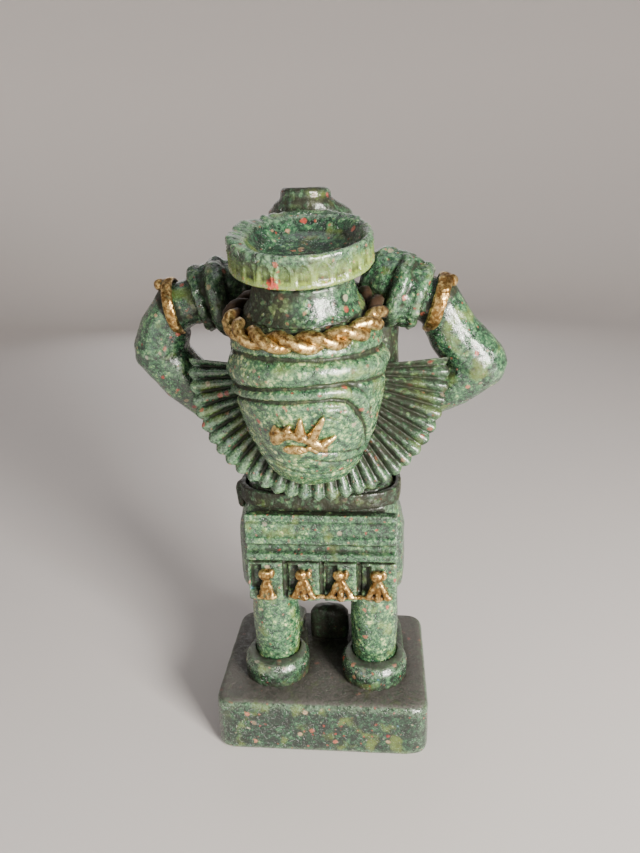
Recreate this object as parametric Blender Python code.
"""Cast-stone figure of a porter: he stands with hands on hips and a roped jar on his back.

Metres, +Z up.  The origin is the middle of the base's underside.  The figure faces -Y and
its left side is +X.  Each casting ends in a peg that is glued into a socket of the next one.
"""
import bpy
import bmesh
from math import cos, pi, radians, sin
from mathutils import Vector

# ---- clearances and pegs
GAP = 0.0003            # glue line between any two castings
PEG_R = 0.0040          # pegs between the large castings
PEG_L = 0.0080
PIN_R = 0.0015          # pins behind the small gilt castings
PIN_L = 0.0030

# ---- base
BASE_W = 0.0985
BASE_D = 0.0750
BASE_H = 0.0268
BASE_CORNER = 0.0070
BASE_EDGE = 0.0025

# ---- legs and sandals
LEG_X = 0.0235          # half the stance
LEG_Y = 0.0085
HEEL_Y = 0.0115         # the heel cap stands a little further back
LEG_R = 0.0109
LEG_SHIFT = -0.0008
HEEL_R = 0.0156
HEEL_H = 0.0108
SOLE_H = 0.0035
TOE_R = 0.0125
FOOT_L = 0.0300         # leg's axis to the middle of the toe curve
FOOT_H = 0.0120

# ---- kilt, belt and what hangs on them
KILT_X = 0.0002
KILT_Y = 0.0000
KILT_HEM = 0.0732       # height of the hem above the ground
KILT_H = 0.0514
KILT_W = 0.0770
KILT_D = 0.0400
BELT_H = 0.0078
BELT_T = 0.0028
PANEL_X = -0.0012
PANEL_W = 0.0664
PANEL_H = 0.0431
PANEL_T = 0.0050
FRINGE_H = 0.0196
FRINGE_N = 4
FRINGE_SLOT = 0.0022
TASSEL_BALL_R = 0.0026
STRAND_SPREAD = 0.0038  # the outer strands' feet stand this far to each side
APRON_W = 0.0380
APRON_H = 0.0500
APRON_T = 0.0045
BLOCK_W = 0.0200        # loincloth end that stands between the feet
BLOCK_H = 0.0200
BLOCK_AHEAD = 0.0245    # in front of the legs' axes

# ---- torso
TORSO_X = 0.0020
TORSO_Y = -0.0060
TORSO_W = 0.0740
TORSO_D = 0.0360
TORSO_H = 0.0880
PECTORAL_R = 0.0110
PECTORAL_T = 0.0028

KILT_TOP = KILT_HEM + KILT_H
TORSO_FOOT = KILT_TOP + GAP
TORSO_TOP = TORSO_FOOT + TORSO_H
TORSO_LEFT = TORSO_X + TORSO_W / 2.0
TORSO_RIGHT = TORSO_X - TORSO_W / 2.0

# ---- pleated fan behind the torso
FAN_R = 0.0540
FAN_HUB = 0.0090
FAN_X = -0.0010
FAN_Y = 0.0174          # its back face at the hub
FAN_Z = TORSO_TOP - 0.0344
FAN_T = 0.0050
FAN_FOLD = 0.0022
FAN_TILT = radians(14.0)
FAN_RISE = radians(6.0)
FAN_PLEATS = 30

# ---- jar
JAR_X = 0.0004
JAR_Y = 0.0220
JAR_Z = TORSO_TOP - 0.0749
JAR_LEAN = radians(12.0)
JAR_SIDE = radians(0.5)  # it also leans a little to the figure's left
JAR_R = 0.0302
JAR_FOOT_R = 0.0135
JAR_H = 0.0728          # foot to the bottom of the neck
ROPE_AT = JAR_H - 0.0038  # along the jar's axis
ROPE_RING_R = JAR_R - 0.0032
ROPE_R = 0.0037
NECK_JAR_R = 0.0188
NECK_JAR_H = 0.0124
MOUTH_R = 0.0262
MOUTH_H = 0.0108
MOUTH_FLARE = 0.0035    # from the neck out to the band
MOUTH_LEAN = radians(15.0)
BOWL_SIDE = -0.0020      # the bowl is off the dish's middle, to the figure's right
BOWL_BACK = 0.0020      # and to the back
RIM_W = 0.0018          # the rim's narrowest width
BOWL_DEPTH = 0.0075
EMBLEM_W = 0.0235
EMBLEM_H = 0.0098
EMBLEM_T = 0.0022
EMBLEM_Z = JAR_Z + 0.0308
OVAL_W = 0.0102
OVAL_H = 0.0042
OVAL_Z = JAR_Z + 0.0222

# ---- head
HEAD_X = 0.0016
HEAD_Y = -0.0090
HEAD_Z = TORSO_TOP + 0.0101
HEAD_W = 0.0325
HEAD_D = 0.0370
HEAD_H = 0.0380
CAP_W = 0.0372
CAP_Z = HEAD_Z + 0.0100
CAP_RISE = 0.0170
KNOB_X = 0.0031
KNOB_Y = 0.0015
KNOB_R = 0.0104
KNOB_TOP = CAP_Z + CAP_RISE  # the figure's full height
SPOOL_R = 0.0048
SPOOL_T = 0.0032

# ---- arms: shoulder, armband, elbow and wrist of each
ARM_R = 0.0105
ELBOW_R = ARM_R + 0.0013
FOREARM_R = 0.0119
WRIST_R = 0.0082
SLEEVE_R = ARM_R + 0.0035
ROLL_R = 0.0032
BAND_ARM_W = 0.0050
BAND_ARM_T = 0.0022
HAND_L = 0.0190
ARMS = {
    "left": {
        "shoulder": Vector((TORSO_LEFT - 0.0020, -0.0010, TORSO_TOP - 0.0034)),
        "cuff": Vector((TORSO_LEFT + 0.0110, 0.0010, TORSO_TOP - 0.0069)),
        "band": Vector((TORSO_LEFT + 0.0212, 0.0020, TORSO_TOP - 0.0099)),
        "middle": Vector((TORSO_LEFT + 0.0262, 0.0018, TORSO_TOP - 0.0184)),
        "elbow": Vector((TORSO_LEFT + 0.0303, 0.0010, TORSO_TOP - 0.0287)),
        "wrist": Vector((TORSO_LEFT + 0.0110, -0.0060, TORSO_TOP - 0.0564)),
    },
    "right": {
        "shoulder": Vector((TORSO_RIGHT + 0.0050, -0.0010, TORSO_TOP + 0.0006)),
        "cuff": Vector((TORSO_RIGHT - 0.0055, 0.0010, TORSO_TOP - 0.0064)),
        "band": Vector((TORSO_RIGHT - 0.0156, 0.0020, TORSO_TOP - 0.0094)),
        "middle": Vector((TORSO_RIGHT - 0.0222, 0.0018, TORSO_TOP - 0.0217)),
        "elbow": Vector((TORSO_RIGHT - 0.0339, 0.0010, TORSO_TOP - 0.0349)),
        "wrist": Vector((TORSO_RIGHT - 0.0120, -0.0060, TORSO_TOP - 0.0537)),
    },
}

FINISHES = {
    "stone": ((0.035, 0.120, 0.075, 1.0), 0.32, 0.0),
    "dusty_stone": ((0.090, 0.110, 0.080, 1.0), 0.60, 0.0),
    "gilt": ((0.430, 0.270, 0.090, 1.0), 0.42, 0.8),
}

X = Vector((1.0, 0.0, 0.0))
Y = Vector((0.0, 1.0, 0.0))
Z = Vector((0.0, 0.0, 1.0))
ROUND = 16              # points round a turned or cast limb


# ---- rings and skins

def across(forward):
    """Two directions across `forward`: the second one is as near to +Y as it can be."""
    hint = X if abs(forward.normalized().y) > 0.9 else Y
    side = forward.cross(hint).normalized()
    return side, side.cross(forward).normalized()


def ring(centre, forward, half_side, half_depth, square=2.0, count=ROUND):
    """A superellipse across `forward`; square 2 is round and 4 is nearly a box."""
    side, depth = across(forward)
    points = []
    for step in range(count):
        turn = 2.0 * pi * step / count
        c, s = cos(turn), sin(turn)
        u = abs(c) ** (2.0 / square) * (1.0 if c > 0.0 else -1.0)
        v = abs(s) ** (2.0 / square) * (1.0 if s > 0.0 else -1.0)
        points.append(centre + side * (half_side * u) + depth * (half_depth * v))
    return points


def skin(rings):
    """A closed mesh through rings of equal length, with flat end caps."""
    mesh = bmesh.new()
    rows = [[mesh.verts.new(p) for p in points] for points in rings]
    count = len(rows[0])
    for low, high in zip(rows, rows[1:]):
        for i in range(count):
            j = (i + 1) % count
            mesh.faces.new((low[i], low[j], high[j], high[i]))
    mesh.faces.new(rows[0][::-1])
    mesh.faces.new(rows[-1])
    return face_out(mesh)


def face_out(mesh):
    """Turn every face of a closed mesh outwards."""
    bmesh.ops.recalc_face_normals(mesh, faces=mesh.faces)
    if mesh.calc_volume(signed=True) < 0.0:
        bmesh.ops.reverse_faces(mesh, faces=mesh.faces)
    return mesh


def limb(stations, square=2.0, blunt=(True, True), grow=0.0, count=ROUND, upright=False):
    """A casting along stations of (centre, half width, half depth), with rounded ends.

    Upright rings lie level, whichever way the stations lean.
    """
    rows = []
    last = len(stations) - 1
    for i, (centre, half_w, half_d) in enumerate(stations):
        before = stations[max(i - 1, 0)][0]
        after = stations[min(i + 1, last)][0]
        forward = Z if upright else (after - before).normalized()
        half_w, half_d = half_w + grow, half_d + grow
        row = [(centre, forward, half_w, half_d)]
        end = -1.0 if i == 0 else 1.0
        if i in (0, last):
            if blunt[0 if i == 0 else 1]:
                reach = min(half_w, half_d)
                for turn in (38.0, 72.0):
                    out = reach * sin(radians(turn))
                    slim = cos(radians(turn))
                    row.append((centre + forward * (end * out), forward, half_w * slim, half_d * slim))
            else:
                row = [(centre + forward * (end * grow), forward, half_w, half_d)]
            if i == 0:
                row.reverse()
        rows += row
    return skin([ring(*item, square=square, count=count) for item in rows])


def turned(base, axis, profile, grow=0.0, count=24):
    """A solid turned about `axis` from (height, radius) pairs that start on the bottom face."""
    rows = []
    last = len(profile) - 1
    for i, (height, radius) in enumerate(profile):
        lift = -grow if i == 0 else (grow if i == last else 0.0)
        rows.append(ring(base + axis * (height + lift), axis, radius + grow, radius + grow, count=count))
    return skin(rows)


def peg(start, end, radius, grow=0.0, count=12):
    """A straight peg; a grown one is its socket."""
    forward = (end - start).normalized()
    return skin([ring(start, forward, radius + grow, radius + grow, count=count),
                 ring(end + forward * grow, forward, radius + grow, radius + grow, count=count)])


def slab(centre, size, edge, grow=0.0, turn=None):
    """A box with bevelled edges; `turn` is a rotation about its own centre."""
    mesh = bmesh.new()
    bmesh.ops.create_cube(mesh, size=1.0)
    bmesh.ops.scale(mesh, vec=Vector(size) + Vector((2.0 * grow,) * 3), verts=mesh.verts)
    if edge > 0.0:
        bmesh.ops.bevel(mesh, geom=mesh.edges[:], offset=edge, segments=2, profile=0.5, affect="EDGES")
    if turn is not None:
        bmesh.ops.rotate(mesh, cent=(0.0, 0.0, 0.0), matrix=turn, verts=mesh.verts)
    bmesh.ops.translate(mesh, vec=centre, verts=mesh.verts)
    return mesh


def prism(outline, centre, side, up, thickness, grow=0.0):
    """An outline in the plane of `side` and `up`, made `thickness` deep about `centre`."""
    normal = side.cross(up).normalized() * (thickness / 2.0 + grow)
    middle = Vector((sum(p[0] for p in outline), sum(p[1] for p in outline))) / len(outline)
    rows = []
    for sign in (-1.0, 1.0):
        row = []
        for u, v in outline:
            away = Vector((u, v)) - middle
            flat = middle + away * (1.0 + grow / max(away.length, 1e-6))
            row.append(centre + side * flat.x + up * flat.y + normal * sign)
        rows.append(row)
    return skin(rows)


# ---- objects, cuts and unions

def keep(name, mesh, finish):
    """A sub-part of the figure, with a material of its own."""
    data = bpy.data.meshes.new(name)
    mesh.to_mesh(data)
    mesh.free()
    thing = bpy.data.objects.new(name, data)
    bpy.context.scene.collection.objects.link(thing)
    colour, roughness, metallic = FINISHES[finish]
    material = bpy.data.materials.new(name)
    material.use_nodes = True
    shader = material.node_tree.nodes["Principled BSDF"]
    shader.inputs["Base Color"].default_value = colour
    shader.inputs["Roughness"].default_value = roughness
    shader.inputs["Metallic"].default_value = metallic
    data.materials.append(material)
    data.shade_smooth()
    data.set_sharp_from_angle(angle=radians(40.0))
    return thing


def shape_with(thing, mesh, operation):
    """Cut `mesh` out of `thing`, or add it, with a Boolean whose tool stays hidden."""
    data = bpy.data.meshes.new("tool")
    mesh.to_mesh(data)
    mesh.free()
    tool = bpy.data.objects.new("tool_for_" + thing.name, data)
    tool.hide_render = True
    tool.display_type = "WIRE"
    bpy.context.scene.collection.objects.link(tool)
    modifier = thing.modifiers.new(operation.lower(), "BOOLEAN")
    modifier.operation = operation
    modifier.solver = "EXACT"
    modifier.object = tool


def cut(thing, *meshes):
    for mesh in meshes:
        shape_with(thing, mesh, "DIFFERENCE")


def add(thing, *meshes):
    for mesh in meshes:
        shape_with(thing, mesh, "UNION")


# ---- places worked out from the sizes

def signs():
    return (("left", 1.0), ("right", -1.0))


def leg_foot(sign):
    return Vector((LEG_SHIFT + sign * LEG_X, LEG_Y, BASE_H + GAP))


FAN_HUB_BACK = Vector((FAN_X, FAN_Y, FAN_Z))
FAN_UP = Vector((0.0, -sin(FAN_TILT), cos(FAN_TILT)))
FAN_OUT = Vector((0.0, cos(FAN_TILT), sin(FAN_TILT)))
FAN_HUB_FRONT = FAN_HUB_BACK - FAN_OUT * FAN_T
JAR_AXIS = Vector((sin(JAR_SIDE), sin(JAR_LEAN), cos(JAR_LEAN))).normalized()
JAR_FOOT = Vector((JAR_X, JAR_Y, JAR_Z))
JAR_OUT = X.cross(JAR_AXIS).normalized() * -1.0
MOUTH_AXIS = Vector((sin(JAR_SIDE), sin(MOUTH_LEAN), cos(MOUTH_LEAN))).normalized()
MOUTH_FOOT = JAR_FOOT + JAR_AXIS * (JAR_H + NECK_JAR_H + GAP)
KILT_BACK = KILT_Y + KILT_D / 2.0
KILT_FRONT = KILT_Y - KILT_D / 2.0
PANEL_Z = KILT_HEM + PANEL_H / 2.0
HEAD_FOOT = Vector((HEAD_X, HEAD_Y, HEAD_Z - HEAD_H / 2.0))


def jar_profile():
    """Heights along the jar's axis and radii there: foot, belly, shoulder, neck seat."""
    return [(0.0, JAR_FOOT_R), (0.0022, JAR_FOOT_R + 0.0030), (0.20 * JAR_H, JAR_R * 0.76),
            (0.42 * JAR_H, JAR_R * 0.93), (0.62 * JAR_H, JAR_R), (0.80 * JAR_H, JAR_R * 0.985),
            (ROPE_AT - ROPE_R * 1.6, JAR_R * 0.95), (ROPE_AT, ROPE_RING_R - ROPE_R * 0.35),
            (JAR_H, ROPE_RING_R - ROPE_R * 1.9)]


def jar_radius(height):
    """The jar's radius at a height along its axis."""
    pairs = jar_profile()
    for (h0, r0), (h1, r1) in zip(pairs, pairs[1:]):
        if height <= h1:
            return r0 + (r1 - r0) * (height - h0) / (h1 - h0)
    return pairs[-1][1]


def jar_face(z, clear):
    """The point of the jar's back at height z, `clear` off its surface."""
    along = (z - JAR_Z) / JAR_AXIS.z
    along += jar_radius(along) * sin(JAR_LEAN) / JAR_AXIS.z
    return JAR_FOOT + JAR_AXIS * along + JAR_OUT * (jar_radius(along) + clear)


def behind(point, normal, grow=0.0):
    """A large block on the +normal side of a plane."""
    side, depth = across(normal)
    far = 0.30
    start = point - normal * grow
    corners = [start + side * (far * u) + depth * (far * v) for u, v in ((-1, -1), (1, -1), (1, 1), (-1, 1))]
    return skin([corners, [corner + normal * far for corner in corners]])


# ---- base, legs and sandals

def rounded_outline(half_w, half_d, corner):
    points = []
    for quarter in range(4):
        for step in range(4):
            turn = radians(90.0 * quarter + 30.0 * step)
            cx = (half_w - corner) * (1.0 if quarter in (0, 3) else -1.0)
            cy = (half_d - corner) * (1.0 if quarter in (0, 1) else -1.0)
            points.append((cx + corner * cos(turn), cy + corner * sin(turn)))
    return points


def make_base():
    edge = BASE_EDGE
    levels = ((0.0, edge * 0.5), (edge * 0.5, 0.0), (BASE_H - edge, 0.0),
              (BASE_H - edge * 0.3, edge * 0.3), (BASE_H, edge))
    rows = []
    for height, inset in levels:
        outline = rounded_outline(BASE_W / 2.0 - inset, BASE_D / 2.0 - inset, BASE_CORNER)
        rows.append([Vector((x, y, height)) for x, y in outline])
    base = keep("base_slab", skin(rows), "dusty_stone")
    for name, sign in signs():
        foot = leg_foot(sign)
        cut(base, peg(foot + Z * GAP, foot - Z * PEG_L, PEG_R, GAP))
    top = Vector((LEG_SHIFT, LEG_Y - BLOCK_AHEAD, BASE_H))
    cut(base, peg(top + Z * GAP, top - Z * PIN_L, PIN_R, GAP))


def leg_mesh(sign, grow=0.0):
    foot = leg_foot(sign)
    top = KILT_HEM - GAP
    rows = [(foot, LEG_R * 0.95, LEG_R * 0.95), (foot + Z * 0.012, LEG_R * 0.97, LEG_R * 0.97),
            (foot + Z * 0.028, LEG_R * 1.03, LEG_R * 1.03),
            (Vector((foot.x, foot.y, top)), LEG_R, LEG_R)]
    return limb(rows, blunt=(False, False), grow=grow, count=20)


def leg_top(sign):
    foot = leg_foot(sign)
    return Vector((foot.x, foot.y, KILT_HEM))


def heel_mesh(sign, grow=0.0):
    foot = leg_foot(sign) + Y * (HEEL_Y - LEG_Y)
    profile = [(0.0, HEEL_R), (HEEL_H * 0.75, HEEL_R), (HEEL_H, HEEL_R - 0.0018)]
    return turned(foot, Z, profile, grow)


def make_legs():
    for name, sign in signs():
        foot = leg_foot(sign)
        leg = keep(name + "_leg", leg_mesh(sign), "stone")
        add(leg, peg(foot + Z * 0.004, foot - Z * PEG_L, PEG_R))
        add(leg, peg(leg_top(sign) - Z * 0.004, leg_top(sign) + Z * PEG_L, PEG_R))

        toe = foot - Y * FOOT_L + X * (sign * 0.0015)
        sole = []
        for step in range(7):
            turn = radians(30.0 * step)
            sole.append((toe.x + TOE_R * cos(turn), toe.y - TOE_R * sin(turn)))
        for step in range(7):
            turn = radians(30.0 * step)
            sole.append((foot.x - HEEL_R * 0.96 * cos(turn), HEEL_Y + HEEL_R * 0.96 * sin(turn)))
        rows = [[Vector((x, y, foot.z + h)) for x, y in sole] for h in (0.0, SOLE_H)]
        sandal = keep(name + "_sandal", skin(rows), "stone")
        add(sandal, heel_mesh(sign))
        cut(sandal, leg_mesh(sign, GAP))

        instep = foot + Z * (SOLE_H + GAP)
        stations = [(instep + Z * FOOT_H * 0.52 - Y * 0.004, FOOT_H * 0.5, 0.0098),
                    (instep + Z * FOOT_H * 0.45 - Y * (FOOT_L * 0.60), FOOT_H * 0.42, 0.0102),
                    (instep + Z * FOOT_H * 0.34 - Y * (FOOT_L + TOE_R * 0.30), FOOT_H * 0.28, 0.0106)]
        foot_part = keep(name + "_foot", limb(stations, square=2.6, blunt=(False, True)), "stone")
        cut(foot_part, leg_mesh(sign, GAP), heel_mesh(sign, GAP), behind(instep, -Z))

    place = Vector((LEG_SHIFT, LEG_Y - BLOCK_AHEAD, BASE_H + GAP))
    rows = [(place, BLOCK_W / 2.0, 0.0050), (place + Z * (BLOCK_H * 0.7), BLOCK_W / 2.0, 0.0048)]
    block = keep("loincloth_end", limb(rows, square=3.0, blunt=(False, True)), "stone")
    add(block, peg(place + Z * 0.003, place - Z * PIN_L, PIN_R))


# ---- kilt and its trimmings

def kilt_stations():
    half_w, half_d = KILT_W / 2.0, KILT_D / 2.0
    levels = ((0.0, 0.985, 0.97), (0.10, 1.0, 1.0), (0.55, 1.0, 1.0), (0.80, 0.93, 0.95), (1.0, 0.84, 0.88))
    return [(Vector((KILT_X, KILT_Y, KILT_HEM + KILT_H * t)), half_w * w, half_d * d) for t, w, d in levels]


def hoop(low, high, inner, outer):
    """A level ring between heights low and high; inner and outer are (half width, half depth)."""
    rows = []
    for z, (half_w, half_d) in ((low, inner), (low, outer), (high, outer), (high, inner)):
        rows.append(ring(Vector((KILT_X, KILT_Y, z)), Z, half_w, half_d, square=3.0, count=24))
    mesh = bmesh.new()
    rows = [[mesh.verts.new(point) for point in row] for row in rows]
    for i in range(24):
        j = (i + 1) % 24
        for here, there in zip(rows, rows[1:] + rows[:1]):
            mesh.faces.new((here[i], here[j], there[j], there[i]))
    return face_out(mesh)


def waist(out):
    """Half width and half depth of the kilt under its belt, plus `out`."""
    return KILT_W * 0.44 + out, KILT_D * 0.47 + out


def waist_peg(grow=0.0):
    foot = Vector((TORSO_X, TORSO_Y, KILT_TOP))
    return limb([(foot - Z * 0.004, 0.0150, 0.0080), (foot + Z * PEG_L, 0.0150, 0.0080)],
                square=3.0, blunt=(False, False), grow=grow)


def panel_hooks():
    height = KILT_HEM + FRINGE_H + 0.008
    return [Vector((PANEL_X + sign * PANEL_W * 0.30, KILT_BACK, height)) for sign in (-1.0, 1.0)]


def fringe_x(index, width):
    return PANEL_X + width * ((index + 0.5) / FRINGE_N - 0.5)


def kilt_mesh(grow=0.0):
    return limb(kilt_stations(), square=3.2, blunt=(False, False), grow=grow, count=24, upright=True)


def make_kilt():
    kilt = keep("kilt_body", kilt_mesh(), "stone")
    low = KILT_TOP - BELT_H
    cut(kilt, hoop(low - GAP, KILT_TOP + 0.002, waist(-GAP), waist(KILT_W)))
    belt = keep("belt", hoop(low, KILT_TOP - GAP, waist(GAP), waist(BELT_T)), "stone")
    add(kilt, waist_peg())
    for name, sign in signs():
        cut(kilt, peg(leg_top(sign) - Z * 0.002, leg_top(sign) + Z * PEG_L, PEG_R, GAP))
    for hook in panel_hooks():
        cut(kilt, peg(hook + Y * 0.01, hook - Y * PIN_L, PIN_R, GAP))
    return kilt, belt


def panel_outline():
    """The panel's profile from the hem to its top, as (distance from the kilt, height)."""
    top = PANEL_H
    deep, mid, full = PANEL_T * 0.55, PANEL_T * 0.80, PANEL_T
    return [(0.0, FRINGE_H + 0.0008), (mid, FRINGE_H + 0.0008), (full, FRINGE_H + 0.0018),
            (full, FRINGE_H + 0.0044), (deep, FRINGE_H + 0.0054), (deep, FRINGE_H + 0.0086),
            (full, FRINGE_H + 0.0096), (full, FRINGE_H + 0.0122), (mid, FRINGE_H + 0.0130),
            (mid, top - 0.0040), (full, top - 0.0030), (full, top), (0.0, top)]


def make_panel():
    back = KILT_BACK + GAP
    rows = []
    for sign in (-1.0, 1.0):
        x = PANEL_X + sign * PANEL_W / 2.0
        rows.append([Vector((x, back + y, KILT_HEM + z)) for y, z in panel_outline()])
    panel = keep("kilt_back_panel", skin(rows), "stone")
    for hook in panel_hooks():
        add(panel, peg(hook + Y * 0.002, hook - Y * PIN_L, PIN_R))

    centre = Vector((PANEL_X, back + PANEL_T * 0.4, KILT_HEM + FRINGE_H / 2.0))
    fringe = keep("kilt_back_fringe", slab(centre, (PANEL_W, PANEL_T * 0.8, FRINGE_H), 0.0006), "stone")
    for index in range(1, FRINGE_N):
        x = PANEL_X + PANEL_W * (index / FRINGE_N - 0.5)
        slot = Vector((x, back + PANEL_T * 0.9, KILT_HEM + FRINGE_H * 0.5))
        cut(fringe, slab(slot, (FRINGE_SLOT, PANEL_T, FRINGE_H * 1.5), 0.0))
    for index in range(FRINGE_N):
        face = Vector((fringe_x(index, PANEL_W), back + PANEL_T * 0.8, KILT_HEM))
        make_tassel("back_tassel_%d" % (index + 1), face, Y, fringe)


def make_tassel(name, face, out, backing):
    """A gilt tassel on a face: a ball and three splayed strands, on a pin."""
    ball = face + Z * (FRINGE_H - 0.0055) + out * (TASSEL_BALL_R + GAP - 0.0006)
    hub = [(ball - Z * TASSEL_BALL_R * 0.2, TASSEL_BALL_R, TASSEL_BALL_R - 0.0006),
           (ball + Z * TASSEL_BALL_R * 0.2, TASSEL_BALL_R, TASSEL_BALL_R - 0.0006)]
    tassel = keep(name, limb(hub, count=10), "gilt")
    depth = out * (0.0013 + GAP) + face - face.project(Z)
    for spread in (-1.0, 0.0, 1.0):
        top = Vector((face.x, depth.y, ball.z - TASSEL_BALL_R * 0.6))
        end = Vector((face.x + spread * STRAND_SPREAD, depth.y, face.z + 0.0030))
        add(tassel, limb([(top, 0.0011, 0.0011), (end, 0.0015, 0.0012)], blunt=(False, True), count=6))
    pin = Vector((face.x, face.y, ball.z))
    add(tassel, peg(pin + out * 0.0015, pin - out * 0.0022, PIN_R * 0.6, count=8))
    cut(backing, peg(pin + out * 0.002, pin - out * 0.0022, PIN_R * 0.6, GAP, count=8))


def make_apron(kilt):
    front = KILT_FRONT - GAP
    half = APRON_W / 2.0
    top = KILT_TOP - BELT_H - 0.0010
    outline = [(-half * 0.80, 0.0), (half * 0.80, 0.0), (half, -APRON_H * 0.80),
               (half * 0.5, -APRON_H * 0.92), (0.0, -APRON_H), (-half * 0.5, -APRON_H * 0.92),
               (-half, -APRON_H * 0.80)]
    centre = Vector((KILT_X, front - APRON_T / 2.0, top))
    apron = keep("kilt_front_apron", prism(outline, centre, X, Z, APRON_T), "stone")
    hook = Vector((KILT_X, KILT_FRONT, top - APRON_H * 0.35))
    add(apron, peg(hook - Y * 0.002, hook + Y * PIN_L, PIN_R))
    cut(kilt, peg(hook - Y * 0.004, hook + Y * (PIN_L + 0.0002), PIN_R, GAP))
    for index, spread in enumerate((-0.5, 0.5)):
        face = Vector((KILT_X + spread * APRON_W * 0.80, front - APRON_T, top - APRON_H * 0.80))
        make_tassel("front_tassel_%d" % (index + 1), face, -Y, apron)


def make_knot(kilt, belt):
    side = Vector((KILT_X + KILT_W * 0.44 + BELT_T - 0.0008, KILT_Y + 0.004, KILT_TOP - BELT_H * 0.5 - 0.001))
    knot = [(side + Z * 0.001, 0.0032, 0.0050), (side - Z * 0.0065, 0.0022, 0.0055)]
    add(belt, limb(knot, count=12))
    cut(kilt, limb(knot, grow=GAP, count=12))


# ---- torso, fan and chest ornament

def torso_mesh(grow=0.0):
    half_w, half_d = TORSO_W / 2.0, TORSO_D / 2.0
    levels = ((0.0, 0.80, 0.86), (0.20, 0.86, 0.92), (0.55, 1.0, 1.0), (0.82, 1.0, 1.0),
              (0.93, 0.78, 0.84), (1.0, 0.42, 0.55))
    axis = Vector((TORSO_X, TORSO_Y, TORSO_FOOT))
    rows = [(axis + Z * (TORSO_H * t), half_w * w, half_d * d) for t, w, d in levels]
    return limb(rows, square=2.7, blunt=(False, False), grow=grow, count=24, upright=True)


def fan_point(turn, radius, lift):
    """A point of the fan; `turn` runs from straight down, `lift` is out from its front face."""
    flat = X * (radius * sin(turn)) - FAN_UP * (radius * cos(turn))
    return FAN_HUB_FRONT + flat + FAN_OUT * lift


def fan_turns(count):
    reach = pi / 2.0 + FAN_RISE
    return [-reach + 2.0 * reach * i / count for i in range(count + 1)]


def fan_solid(steps, fold, grow=0.0):
    """The fan's half ring; with a fold, every second line lies below the ridges."""
    rows = []
    turns = fan_turns(steps)
    extra = grow / FAN_R * 1.5
    turns[0] -= extra
    turns[-1] += extra
    for i, turn in enumerate(turns):
        lift = FAN_T + grow - (fold if i % 2 == 0 else 0.0)
        outer = FAN_R + grow - (fold * 0.35 if i % 2 == 0 else 0.0)
        inner = FAN_HUB - grow
        rows.append([fan_point(turn, inner, -grow), fan_point(turn, outer, -grow),
                     fan_point(turn, outer, lift), fan_point(turn, inner, lift)])
    return skin(rows)


def fan_peg(grow=0.0):
    """The long peg from the torso, through the fan, into the jar."""
    start = FAN_HUB_FRONT - FAN_UP * 0.018
    return peg(start - FAN_OUT * 0.006, start + FAN_OUT * (FAN_T + 0.006), PEG_R, grow)


def make_torso():
    torso = keep("torso", torso_mesh(), "stone")
    cut(torso, behind(FAN_HUB_FRONT, FAN_OUT, GAP), waist_peg(GAP))
    add(torso, fan_peg())
    cut(torso, head_mesh(GAP))
    add(torso, peg(HEAD_FOOT - Z * 0.010, HEAD_FOOT + Z * PEG_L, PEG_R))
    chest = Vector((TORSO_X, TORSO_Y - TORSO_D / 2.0 + 0.0008, TORSO_FOOT + TORSO_H * 0.62))
    disc = [(0.0, PECTORAL_R), (PECTORAL_T * 0.6, PECTORAL_R), (PECTORAL_T, PECTORAL_R * 0.7)]
    ornament = keep("chest_disc", turned(chest - Y * GAP, -Y, disc), "gilt")
    add(ornament, peg(chest - Y * 0.001, chest + Y * PIN_L, PIN_R))
    cut(torso, behind(chest, -Y), peg(chest - Y * 0.002, chest + Y * (PIN_L + 0.0003), PIN_R, GAP))
    return torso


def make_fan():
    fan = keep("pleated_fan", fan_solid(2 * FAN_PLEATS, FAN_FOLD), "stone")
    cut(fan, fan_peg(GAP))


# ---- jar

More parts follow.
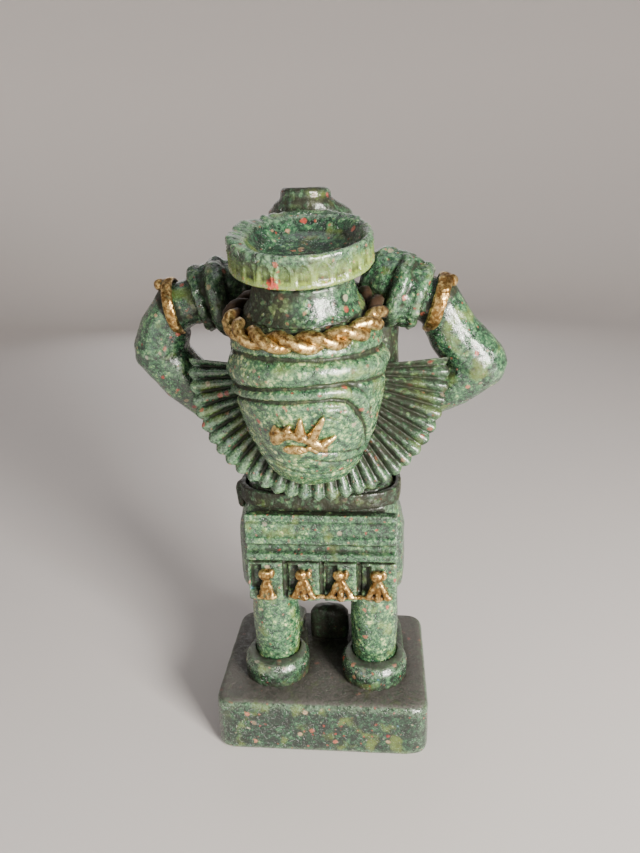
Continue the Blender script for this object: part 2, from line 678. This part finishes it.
def make_jar():
    jar = keep("jar_body", turned(JAR_FOOT, JAR_AXIS, jar_profile(), count=28), "stone")
    cut(jar, behind(FAN_HUB_BACK, -FAN_OUT, GAP), fan_peg(GAP))
    rope_centre = JAR_FOOT + JAR_AXIS * ROPE_AT
    cut(jar, torus(rope_centre, JAR_AXIS, ROPE_RING_R, ROPE_R, GAP))
    neck_foot = JAR_FOOT + JAR_AXIS * JAR_H
    cut(jar, peg(neck_foot + JAR_AXIS * 0.001, neck_foot - JAR_AXIS * PEG_L, PEG_R * 1.5, GAP))

    pipe = [(0.0, NECK_JAR_R * 1.06), (NECK_JAR_H * 0.35, NECK_JAR_R), (NECK_JAR_H - 2.0 * GAP, NECK_JAR_R)]
    neck = keep("jar_neck", turned(neck_foot + JAR_AXIS * GAP, JAR_AXIS, pipe), "stone")
    add(neck, peg(neck_foot + JAR_AXIS * 0.002, neck_foot - JAR_AXIS * PEG_L, PEG_R * 1.5))
    socket = peg(MOUTH_FOOT + MOUTH_AXIS * 0.001, MOUTH_FOOT - MOUTH_AXIS * PEG_L, PEG_R, GAP)
    cut(neck, behind(MOUTH_FOOT, MOUTH_AXIS, GAP), socket)

    rope = keep("jar_rope", torus(rope_centre, JAR_AXIS, ROPE_RING_R, ROPE_R), "gilt")
    cut(rope, behind(FAN_HUB_BACK, -FAN_OUT, GAP))

    mouth = keep("jar_mouth", mouth_mesh(), "stone")
    add(mouth, peg(MOUTH_FOOT + MOUTH_AXIS * 0.002, MOUTH_FOOT - MOUTH_AXIS * (PEG_L - 0.001), PEG_R))
    height, rim_r = mouth_profile()[-1]
    out = X.cross(MOUTH_AXIS).normalized() * -1.0
    shift = X * BOWL_SIDE + out * BOWL_BACK
    bowl_r = rim_r - RIM_W - shift.length
    bowl = [(0.0, bowl_r * 0.76), (BOWL_DEPTH * 0.35, bowl_r * 0.93), (BOWL_DEPTH, bowl_r),
            (BOWL_DEPTH + 0.004, bowl_r + 0.001)]
    cut(mouth, turned(MOUTH_FOOT + shift + MOUTH_AXIS * (height - BOWL_DEPTH), MOUTH_AXIS, bowl))

    for name, width, height, z in (("emblem_crown", EMBLEM_W, EMBLEM_H, EMBLEM_Z),
                                   ("emblem_oval", OVAL_W, OVAL_H, OVAL_Z)):
        spot = jar_face(z, 0.0)
        outline = crown_outline(width, height) if name == "emblem_crown" else oval_outline(width, height)
        badge = keep(name, prism(outline, spot, X, JAR_AXIS, EMBLEM_T * 2.0), "gilt")
        cut(badge, turned(JAR_FOOT, JAR_AXIS, jar_profile(), GAP, count=28))
        add(badge, peg(spot + JAR_OUT * 0.001, spot - JAR_OUT * PIN_L, PIN_R * 0.7, count=8))
        cut(jar, peg(spot + JAR_OUT * 0.002, spot - JAR_OUT * PIN_L, PIN_R * 0.7, GAP, count=8))


def mouth_profile():
    return [(0.0, NECK_JAR_R * 1.02), (MOUTH_FLARE, MOUTH_R * 0.97), (MOUTH_FLARE + MOUTH_H * 0.5, MOUTH_R),
            (MOUTH_FLARE + MOUTH_H - 0.0012, MOUTH_R * 0.985), (MOUTH_FLARE + MOUTH_H, MOUTH_R * 0.94)]


def mouth_mesh(grow=0.0):
    return turned(MOUTH_FOOT, MOUTH_AXIS, mouth_profile(), grow, count=28)


def turned_ring(centre, axis, section, count=24):
    """A ring about `axis` with a closed section of (height, radius) points."""
    side, depth = across(axis)
    mesh = bmesh.new()
    rows = []
    for i in range(count):
        turn = 2.0 * pi * i / count
        out = side * cos(turn) + depth * sin(turn)
        rows.append([mesh.verts.new(centre + axis * height + out * radius) for height, radius in section])
    for here, there in zip(rows, rows[1:] + rows[:1]):
        for j in range(len(section)):
            k = (j + 1) % len(section)
            mesh.faces.new((here[j], there[j], there[k], here[k]))
    return face_out(mesh)


def torus(centre, axis, ring_radius, radius, grow=0.0, count=24, sides=8):
    """A ring of round section about `axis`."""
    turns = [2.0 * pi * (j + 0.5) / sides for j in range(sides)]
    section = [((radius + grow) * sin(t), ring_radius + (radius + grow) * cos(t)) for t in turns]
    return turned_ring(centre, axis, section, count)


def crown_outline(width, height):
    """Five rays over a flat foot."""
    points = [(width * 0.30, -height * 0.5), (-width * 0.30, -height * 0.5)]
    rays = 5
    for i in range(rays):
        turn = radians(175.0 - 42.5 * i)
        reach = 0.5 + 0.06 * sin(turn)
        points.append((width * reach * cos(turn), height * (-0.25 + 0.75 * sin(turn))))
        if i < rays - 1:
            between = turn - radians(21.0)
            points.append((width * 0.30 * cos(between), height * (-0.25 + 0.42 * sin(between))))
    return points


def oval_outline(width, height):
    return [(width / 2.0 * cos(radians(30.0 * i)), height / 2.0 * sin(radians(30.0 * i))) for i in range(12)]


# ---- head

def head_mesh(grow=0.0):
    half_w, half_d, half_h = HEAD_W / 2.0, HEAD_D / 2.0, HEAD_H / 2.0
    centre = Vector((HEAD_X, HEAD_Y, HEAD_Z))
    levels = ((-1.0, 0.50, 0.52), (-0.80, 0.72, 0.76), (-0.35, 0.94, 0.94),
              (0.10, 1.0, 1.0), (0.60, 0.98, 0.98))
    rows = [(centre + Z * (half_h * t), half_w * w, half_d * d) for t, w, d in levels]
    return limb(rows, square=2.3, blunt=(False, False), grow=grow, count=20, upright=True)


def cap_mesh(grow=0.0):
    centre = Vector((HEAD_X, HEAD_Y, CAP_Z + GAP))
    slide = Vector((KNOB_X - HEAD_X, KNOB_Y - HEAD_Y, 0.0))
    half = CAP_W / 2.0
    levels = ((0.0, 1.0, 0.0), (0.22, 0.99, 0.10), (0.45, 0.93, 0.35), (0.62, 0.76, 0.70), (0.74, 0.60, 0.95))
    rows = [(centre + slide * s + Z * ((CAP_RISE - GAP) * t), half * w, half * w) for t, w, s in levels]
    return limb(rows, blunt=(False, False), grow=grow, count=24, upright=True)


def make_head():
    head = keep("head", head_mesh(), "stone")
    cut(head, behind(Vector((0.0, 0.0, CAP_Z)), Z), head_socket(), behind(FAN_HUB_FRONT, FAN_OUT, GAP))
    nose = Vector((HEAD_X, HEAD_Y - HEAD_D / 2.0, HEAD_Z - 0.001))
    bridge, tip = nose + Z * 0.004 + Y * 0.001, nose - Z * 0.003 - Y * 0.0008
    add(head, limb([(bridge, 0.0014, 0.0014), (tip, 0.0026, 0.0024)], count=10))
    for name, sign in signs():
        ear = Vector((HEAD_X + sign * HEAD_W * 0.49, HEAD_Y + 0.002, HEAD_Z + 0.001))
        out = X * sign
        profile = [(0.0, SPOOL_R * 0.8), (SPOOL_T * 0.4, SPOOL_R * 0.8),
                   (SPOOL_T * 0.5, SPOOL_R), (SPOOL_T, SPOOL_R)]
        spool = keep(name + "_ear_spool", turned(ear + out * (0.0008 + GAP), out, profile, count=16), "gilt")
        cut(spool, head_mesh(GAP))
        add(spool, peg(ear + out * 0.002, ear - out * 0.004, PIN_R))
        cut(head, peg(ear + out * 0.004, ear - out * 0.004, PIN_R, GAP))
    seat = Vector((HEAD_X, HEAD_Y, CAP_Z))
    cut(head, peg(seat + Z * 0.002, seat - Z * PEG_L, PEG_R, GAP))

    cap = keep("cap", cap_mesh(), "stone")
    button = [(-0.0090, KNOB_R * 0.8), (-0.0050, KNOB_R * 0.9), (-0.0030, KNOB_R),
              (-0.0012, KNOB_R), (0.0, KNOB_R * 0.86)]
    add(cap, turned(Vector((KNOB_X, KNOB_Y, KNOB_TOP)), Z, button))
    add(cap, peg(seat + Z * 0.002, seat - Z * (PEG_L - GAP), PEG_R))
    cut(cap, mouth_mesh(GAP))


def head_socket():
    return peg(HEAD_FOOT - Z * 0.010, HEAD_FOOT + Z * PEG_L, PEG_R, GAP)


# ---- arms

def arm_mesh(arm, grow=0.0):
    toward = (arm["band"] - arm["cuff"]).normalized()
    rows = [(arm["cuff"] - toward * 0.003, ARM_R * 0.96, ARM_R * 0.96), (arm["band"], ARM_R, ARM_R),
            (arm["middle"], ARM_R * 1.06, ARM_R * 1.06),
            (arm["elbow"], ELBOW_R, ELBOW_R)]
    return limb(rows, blunt=(False, True), grow=grow)


def armband_mesh(arm, grow=0.0):
    """A gilt hoop square to the arm where it bends."""
    before, after = arm["cuff"], arm["middle"]
    half = BAND_ARM_W / 2.0 + grow
    inner = ARM_R * 1.04 + GAP - grow
    outer = ARM_R * 1.04 + BAND_ARM_T + grow
    section = [(-half, inner), (-half, outer - BAND_ARM_T * 0.4), (-half * 0.4, outer),
               (half * 0.4, outer), (half, outer - BAND_ARM_T * 0.4), (half, inner)]
    return turned_ring(arm["band"], (after - before).normalized(), section, count=20)


def sleeve_mesh(arm, grow=0.0):
    rows = [(arm["shoulder"], SLEEVE_R * 0.96, SLEEVE_R * 0.86),
            (arm["shoulder"].lerp(arm["cuff"], 0.5), SLEEVE_R, SLEEVE_R * 0.92),
            (arm["cuff"], SLEEVE_R * 0.97, SLEEVE_R * 0.92)]
    return limb(rows, blunt=(True, False), grow=grow)


def hand_stations(name, arm):
    start = arm["wrist"]
    inward = (arm["wrist"] - arm["elbow"]).normalized()
    tip = start + inward * HAND_L
    return [(start + inward * (GAP * 2.0), WRIST_R * 0.9, WRIST_R * 0.8),
            (start.lerp(tip, 0.45), 0.0086, 0.0066), (tip, 0.0070, 0.0052)]


def make_arms(torso):
    for name, arm in ARMS.items():
        down = (arm["elbow"] - arm["band"]).normalized()
        toward = (arm["band"] - arm["cuff"]).normalized()
        sleeve = keep(name + "_sleeve", sleeve_mesh(arm), "stone")
        roll = arm["cuff"] - toward * ROLL_R * 0.6
        add(sleeve, torus(roll, toward, SLEEVE_R * 0.93 - ROLL_R * 0.4, ROLL_R, count=16, sides=6))
        cut(sleeve, torso_mesh(GAP), arm_mesh(arm, GAP), mouth_mesh(GAP), jar_room(GAP))
        hook = arm["shoulder"].lerp(arm["cuff"], 0.25)
        into = Vector((TORSO_X + (hook.x - TORSO_X) * 0.45, TORSO_Y * 0.6, hook.z - 0.006))
        add(sleeve, peg(hook, into, PEG_R * 0.8))
        cut(torso, peg(hook, into, PEG_R * 0.8, GAP))

        upper = keep(name + "_upper_arm", arm_mesh(arm), "stone")
        cut(upper, torso_mesh(GAP), armband_mesh(arm, GAP), fan_solid(2 * FAN_PLEATS, 0.0, GAP))
        keep(name + "_armband", armband_mesh(arm), "gilt")

        wrist = arm["wrist"]
        start = arm["elbow"].lerp(wrist, 0.06)
        lower = [(start, FOREARM_R * 0.95, FOREARM_R * 0.95),
                 (arm["elbow"].lerp(wrist, 0.5), FOREARM_R * 0.96, FOREARM_R * 0.96),
                 (wrist, WRIST_R, WRIST_R)]
        forearm = keep(name + "_forearm", limb(lower, blunt=(False, False)), "stone")
        cut(forearm, arm_mesh(arm, GAP), behind(FAN_HUB_FRONT, FAN_OUT, GAP))
        inward = (wrist - arm["elbow"]).normalized()
        joint = arm["elbow"] + inward * 0.004
        add(forearm, peg(joint + inward * 0.012, joint, PEG_R * 0.8))
        cut(upper, peg(joint + inward * 0.012, joint - inward * GAP, PEG_R * 0.8, GAP))
        cut(forearm, peg(wrist + inward * 0.001, wrist - inward * PEG_L, PEG_R * 0.6, GAP))

        hand = keep(name + "_hand", limb(hand_stations(name, arm), square=2.6, blunt=(False, True)), "stone")
        add(hand, peg(wrist + inward * 0.003, wrist - inward * (PEG_L - GAP), PEG_R * 0.6))
        cut(hand, torso_mesh(GAP), behind(FAN_HUB_FRONT, FAN_OUT, GAP), kilt_mesh(GAP))


def jar_room(grow):
    """The space that the jar and its rope take, for what stands beside them."""
    reach = max(JAR_R, ROPE_RING_R + ROPE_R)
    return turned(JAR_FOOT, JAR_AXIS, [(0.0, reach), (ROPE_AT + ROPE_R, reach)], grow)


def clear_scene():
    for thing in list(bpy.data.objects):
        bpy.data.objects.remove(thing, do_unlink=True)


def main():
    clear_scene()
    make_base()
    make_legs()
    kilt, belt = make_kilt()
    make_knot(kilt, belt)
    make_panel()
    make_apron(kilt)
    torso = make_torso()
    make_fan()
    make_jar()
    make_head()
    make_arms(torso)


main()
